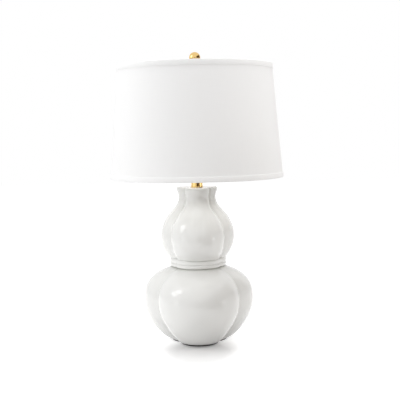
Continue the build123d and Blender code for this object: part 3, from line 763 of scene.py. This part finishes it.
class LAMP_OT_shade(bpy.types.Operator):
    """Make the shade: the cloth with its lap at the back, the folded tapes, the lining and the wires"""

    bl_idname = "lamp.shade"
    bl_label = "Shade"

    def execute(self, context):
        colours, sizes = context.scene.lamp_colours, context.scene.lamp_sizes
        cloth = woven_cloth(colours, sizes)
        cover = self.wrap_cover(sizes)
        top_tape = self.fold_tape("top_tape", SHADE_TOP, TOP_TAPE_LOW[2], sizes)
        bottom_tape = self.fold_tape("bottom_tape", SHADE_BOTTOM, BOTTOM_TAPE_HIGH[2], sizes)
        for piece in (cover, top_tape, bottom_tape):
            lay_cloth_map(piece)
        hand_over(cover, cloth, "shade", "linen", "shade_fabric")
        hand_over(top_tape, cloth, "shade", "trim_fabric", "shade_top_trim")
        hand_over(bottom_tape, cloth, "shade", "trim_fabric", "shade_bottom_trim")
        self.declare_cover(cover, [top_tape, bottom_tape])
        styrene = moulded(
            "styrene_sheet", colours.lining, texture=3.0 * MM, depth=0.02 * MM, roughness=0.38
        )
        dress(styrene, "shade_lining")
        powder = moulded(
            "powder_coated_wire", colours.wire, texture=0.8 * MM, depth=0.03 * MM, roughness=0.35
        )
        dress(powder, "shade_top_ring", "shade_bottom_ring", "spider_hub", "spider_arms")
        return {"FINISHED"}

    def wrap_cover(self, sizes):
        """the cloth wrapped round the lining, its end lapped over its start at the back"""
        low, high = COVER_LOW[2], COVER_HIGH[2]
        cover = start_ring("linen_cover", RING_STEPS, cover_radius(low), low)
        levels = 12
        rise = (high - low) / levels
        for level in range(levels):
            z = low + level * rise
            extrude_ring(rise, cover_radius(z), cover_radius(z + rise), z)
        bpy.ops.object.mode_set(mode="OBJECT")
        outward(cover)
        apply_modifier(cover, "SOLIDIFY", thickness=sizes.cloth_thickness, offset=-1)
        activate(cover)
        bpy.ops.object.mode_set(mode="EDIT")
        # the lap is the outer strip of faces beside the middle of the back
        half_step = pi / RING_STEPS
        pick(
            lambda middle, normal: abs(atan2(-middle.x, middle.y) - half_step) < half_step / 2
            and normal.y > 0.5
        )
        bpy.ops.mesh.extrude_region_shrink_fatten(TRANSFORM_OT_shrink_fatten={"value": sizes.seam_rise})
        bpy.ops.object.mode_set(mode="OBJECT")
        smooth(cover, angle=30)
        return cover

    def fold_tape(self, name, rim, edge, sizes):
        """tape folded over a rim: up the outside, across the rim and a little way down the inside"""
        way = 1 if rim > edge else -1
        thickness = sizes.tape_thickness
        # how far the fold swells out, how high and wide its corners are, and how far it goes down inside
        swell, corner, inset, turn_in = 0.1 * MM, 0.6 * MM, 0.5 * MM, 2.4 * MM
        fold_rounding = 0.35 * MM
        ring_low, ring_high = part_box("shade_top_ring" if way > 0 else "shade_bottom_ring")
        wire = ring_high[2] - ring_low[2]
        inner = ring_high[0] - wire - thickness
        shoulder = rim - way * corner
        outer_edge = cover_radius(edge) + thickness
        outer_shoulder = cover_radius(shoulder) + thickness + swell
        outer_rim = cover_radius(rim) + thickness - inset
        tape = start_ring(name, RING_STEPS, outer_edge, edge)
        extrude_ring(shoulder - edge, outer_edge, outer_shoulder, edge)
        extrude_ring(way * corner, outer_shoulder, outer_rim, shoulder)
        extrude_ring(0, outer_rim, inner + inset, rim)
        extrude_ring(-way * corner, inner + inset, inner, rim)
        extrude_ring(-way * turn_in, inner, inner, shoulder)
        bpy.ops.object.mode_set(mode="OBJECT")
        outward(tape)
        apply_modifier(tape, "SOLIDIFY", thickness=thickness, offset=-1)
        round_corners(tape, width=fold_rounding, segments=2, angle=40)
        smooth(tape, angle=40)
        return tape

    def declare_cover(self, cover, tapes):
        """takes the cover and its tapes, and does nothing with them"""


class LAMP_OT_stage(bpy.types.Operator):
    """Set up the paper floor, the dark cards, the lights and the camera"""

    bl_idname = "lamp.stage"
    bl_label = "Studio"

    def execute(self, context):
        colours, studio = context.scene.lamp_colours, context.scene.lamp_studio
        self.lay_floor(colours, studio)
        self.stand_cards(colours)
        self.set_world(context, studio)
        self.hang_lights(studio)
        self.set_camera(context)
        return {"FINISHED"}

    def lay_floor(self, colours, studio):
        """white paper with a painted glow for the eye: white farther out, and weak in a painted patch in
        front of the foot, where the lamp's shadow shows
        """
        fibre_size = 1.5 * MM
        deselect()
        bpy.ops.mesh.primitive_plane_add(size=1, location=(0, 0, 0))
        floor = bpy.context.object
        floor.name = floor.data.name = "paper_floor"
        bpy.ops.transform.resize(value=(FLOOR_WIDTH, FLOOR_BACK - FLOOR_FRONT, 1))
        bpy.ops.transform.translate(value=(0, (FLOOR_BACK + FLOOR_FRONT) / 2, 0))
        bpy.ops.object.transform_apply(location=True, rotation=True, scale=True)
        material, tree = start_material("matt_paper")
        place = add_node(tree, "TexCoord").outputs["Object"]
        fibre = add_node(tree, "TexNoise", {"Vector": place, "Scale": 1 / fibre_size, "Detail": 2.0})
        tone = add_node(
            tree,
            "Mix",
            {0: fibre.outputs["Fac"], "A": colours.floor, "B": darker(colours.floor, 0.98)},
            data_type="RGBA",
        )
        paper = add_node(tree, "BsdfDiffuse", {"Color": tone.outputs["Result"]})
        # painted shadow and glow: the eye sees the paper's tone plus a weak glow in the patch round the
        # foot, and a glow that paints it white farther out
        narrow = add_node(tree, "VectorMath", {0: place, 1: (PAINTED_SHADOW_SQUEEZE, 1, 1)}, operation="MULTIPLY")
        reach = add_node(
            tree, "VectorMath", {0: narrow.outputs[0], 1: (0, PAINTED_SHADOW_CENTRE, 0)}, operation="DISTANCE"
        )
        away = add_node(
            tree,
            "MapRange",
            {
                0: reach.outputs["Value"],
                1: PAINTED_SHADOW_CORE,
                2: PAINTED_SHADOW_EDGE,
                3: studio.painted_shadow_glow,
                4: studio.painted_floor_glow,
            },
            interpolation_type="SMOOTHSTEP",
        )
        seen = self.seen_directly(tree)
        lift = add_node(tree, "Math", {0: seen, 1: away.outputs[0]}, operation="MULTIPLY")
        # painted glow: the paper glows for the eye, though it is no lamp
        painted_glow = add_node(tree, "Emission", {"Color": (1, 1, 1, 1), "Strength": lift.outputs[0]})
        both = add_node(tree, "AddShader", {0: paper.outputs[0], 1: painted_glow.outputs[0]})
        add_node(tree, "OutputMaterial", {"Surface": both.outputs[0]})
        floor.data.materials.append(material)

    def seen_directly(self, tree):
        """1 for what the eye sees, straight, mirrored or through glass, and 0 for light on its way"""
        ray = add_node(tree, "LightPath").outputs
        glossy, through = ray["Is Glossy Ray"], ray["Is Transmission Ray"]
        mirrored = add_node(tree, "Math", {0: glossy, 1: through}, operation="MAXIMUM").outputs[0]
        seen = add_node(tree, "Math", {0: ray["Is Camera Ray"], 1: mirrored}, operation="MAXIMUM")
        return seen.outputs[0]

    def stand_cards(self, colours):
        """dark cards that only the brass and the glaze see: a flag and two screens"""
        material, tree = start_material("matt_card")
        matt = add_node(tree, "BsdfDiffuse", {"Color": colours.flag})
        add_node(tree, "OutputMaterial", {"Surface": matt.outputs[0]})
        flag = self.stand_flag()
        low_screen = self.stand_screen("low_screen", *LOW_SCREEN)
        high_screen = self.stand_screen("high_screen", *HIGH_SCREEN)
        for card in (flag, low_screen, high_screen):
            card.data.materials.append(material)
            card.visible_camera = False

    def stand_flag(self):
        """a cloth in front of the paper that goes up into a card behind the camera"""
        deselect()
        bpy.ops.mesh.primitive_plane_add(size=1, location=(0, 0, 0))
        flag = bpy.context.object
        flag.name = flag.data.name = "dark_flag"
        bpy.ops.object.mode_set(mode="EDIT")
        bpy.ops.mesh.select_all(action="SELECT")
        middle_of_cloth = ((FLAG_LEFT + FLAG_RIGHT) / 2, (FLOOR_FRONT + FLAG_PLACE) / 2, CLOTH_LEVEL)
        bpy.ops.transform.resize(value=(FLAG_RIGHT - FLAG_LEFT, FLOOR_FRONT - FLAG_PLACE, 1))
        bpy.ops.transform.translate(value=middle_of_cloth)
        pick(lambda middle, edge: middle.y < FLAG_PLACE + MM, "edges")
        rise = FLAG_HEIGHT - CLOTH_LEVEL
        bpy.ops.mesh.extrude_region_move(TRANSFORM_OT_translate={"value": (0, 0, rise)})
        bpy.ops.object.mode_set(mode="OBJECT")
        bpy.ops.object.transform_apply(location=True, rotation=True, scale=True)
        return flag

    def stand_screen(self, name, near, far, height):
        """an upright card, from one place to another"""
        deselect()
        bpy.ops.mesh.primitive_plane_add(size=1, location=near)
        screen = bpy.context.object
        screen.name = screen.data.name = name
        bpy.ops.object.mode_set(mode="EDIT")
        bpy.ops.mesh.select_mode(type="VERT")
        bpy.ops.mesh.select_all(action="SELECT")
        bpy.ops.mesh.merge(type="CENTER")
        along = (far[0] - near[0], far[1] - near[1], 0)
        bpy.ops.mesh.extrude_region_move(TRANSFORM_OT_translate={"value": along})
        bpy.ops.mesh.select_all(action="SELECT")
        bpy.ops.mesh.extrude_region_move(TRANSFORM_OT_translate={"value": (0, 0, height)})
        bpy.ops.object.mode_set(mode="OBJECT")
        bpy.ops.object.transform_apply(location=True, rotation=True, scale=True)
        return screen

    def set_world(self, context, studio):
        """an even white studio: white to the eye, and a plain level of light for the lamp"""
        world = bpy.data.worlds.new("white_studio")
        world.use_nodes = True
        tree = world.node_tree
        tree.nodes.clear()
        seen = self.seen_directly(tree)
        strength = add_node(tree, "Mix", {0: seen, 2: studio.sky, 3: 1.0}, data_type="FLOAT")
        sky = add_node(tree, "Background", {"Color": (1, 1, 1, 1), "Strength": strength.outputs[0]})
        add_node(tree, "OutputWorld", {"Surface": sky.outputs[0]})
        context.scene.world = world

    def hang_lights(self, studio):
        """a window and two glints that the glaze and the brass mirror, and soft lights that they don't"""
        self.hang_light(
            "window_left", studio.window_power, azimuth=-74, elevation=29, width=1.10, height=0.60, roll=60
        )
        self.hang_light(
            "soft_left",
            studio.left_power,
            azimuth=-50,
            elevation=8,
            width=1.50,
            height=0.90,
            mirrored=False,
        )
        self.hang_light(
            "soft_right",
            studio.right_power,
            azimuth=59,
            elevation=24,
            width=0.80,
            height=0.50,
            mirrored=False,
            distance=1.2,
        )
        self.hang_light(
            "soft_back",
            studio.back_power,
            azimuth=180,
            elevation=20,
            width=1.60,
            height=1.00,
            mirrored=False,
        )
        self.hang_light(
            "glint_left", studio.glint_power, azimuth=-62, elevation=-4, width=0.35, height=0.35
        )
        self.hang_light(
            "glint_right", studio.glint_power, azimuth=68, elevation=-4, width=0.50, height=0.30
        )
        self.hang_light(
            "fill_top", studio.top_power, azimuth=0, elevation=90, width=1.6, height=1.6, mirrored=False
        )

    def hang_light(
        self, name, power, azimuth, elevation, width, height, mirrored=True, distance=2.0, roll=0.0
    ):
        """a rectangular light that faces the lamp; azimuth 0 is the camera's side, and 90 the right"""
        light = bpy.data.lights.new(name, "AREA")
        light.shape = "RECTANGLE"
        light.size = width
        light.size_y = height
        light.energy = power
        lamp = bpy.data.objects.new(name, light)
        bpy.context.scene.collection.objects.link(lamp)
        turn, tilt = radians(azimuth), radians(elevation)
        away = Vector((sin(turn) * cos(tilt), -cos(turn) * cos(tilt), sin(tilt)))
        lamp.location = Vector((0, 0, LIGHT_TARGET)) + distance * away
        facing = (-away).to_track_quat("-Z", "Y").to_matrix() @ Matrix.Rotation(radians(roll), 3, "Z")
        lamp.rotation_euler = facing.to_euler()
        lamp.visible_camera = False
        lamp.visible_glossy = mirrored

    def set_camera(self, context):
        """the viewer's place: a little to the right of the axis, looking slightly down and tilted"""
        camera = bpy.data.cameras.new("camera")
        camera.lens = CAMERA_LENS
        camera.sensor_width = CAMERA_SENSOR
        viewer = bpy.data.objects.new("camera", camera)
        context.scene.collection.objects.link(viewer)
        look_down = Matrix.Rotation(radians(90 - CAMERA_PITCH), 4, "X")
        tilt = Matrix.Rotation(radians(CAMERA_ROLL), 4, "Z")
        viewer.matrix_world = Matrix.Translation(CAMERA_PLACE) @ look_down @ tilt
        context.scene.camera = viewer
        context.scene.view_settings.view_transform = "Standard"


OPERATORS = (LAMP_OT_body, LAMP_OT_hardware, LAMP_OT_brass, LAMP_OT_socket, LAMP_OT_shade, LAMP_OT_stage)


class LAMP_PT_panel(bpy.types.Panel):
    """Lists the steps that finish the lamp"""

    bl_idname = "LAMP_PT_panel"
    bl_label = "Double gourd lamp"
    bl_space_type = "VIEW_3D"
    bl_region_type = "UI"
    bl_category = "Lamp"

    def draw(self, context):
        for operator in OPERATORS:
            self.layout.operator(operator.bl_idname)


CLASSES = (LampColours, LampSizes, LampStudio, *OPERATORS, LAMP_PT_panel)


def register():
    for item in CLASSES:
        bpy.utils.register_class(item)
    bpy.types.Scene.lamp_colours = bpy.props.PointerProperty(type=LampColours)
    bpy.types.Scene.lamp_sizes = bpy.props.PointerProperty(type=LampSizes)
    bpy.types.Scene.lamp_studio = bpy.props.PointerProperty(type=LampStudio)


def unregister():
    del bpy.types.Scene.lamp_studio
    del bpy.types.Scene.lamp_sizes
    del bpy.types.Scene.lamp_colours
    for item in reversed(CLASSES):
        bpy.utils.unregister_class(item)


def main():
    """finishes the lamp step by step"""
    register()
    for operator in OPERATORS:
        group, step = operator.bl_idname.split(".")
        getattr(getattr(bpy.ops, group), step)()
    deselect()


if __name__ == "__main__":
    main()
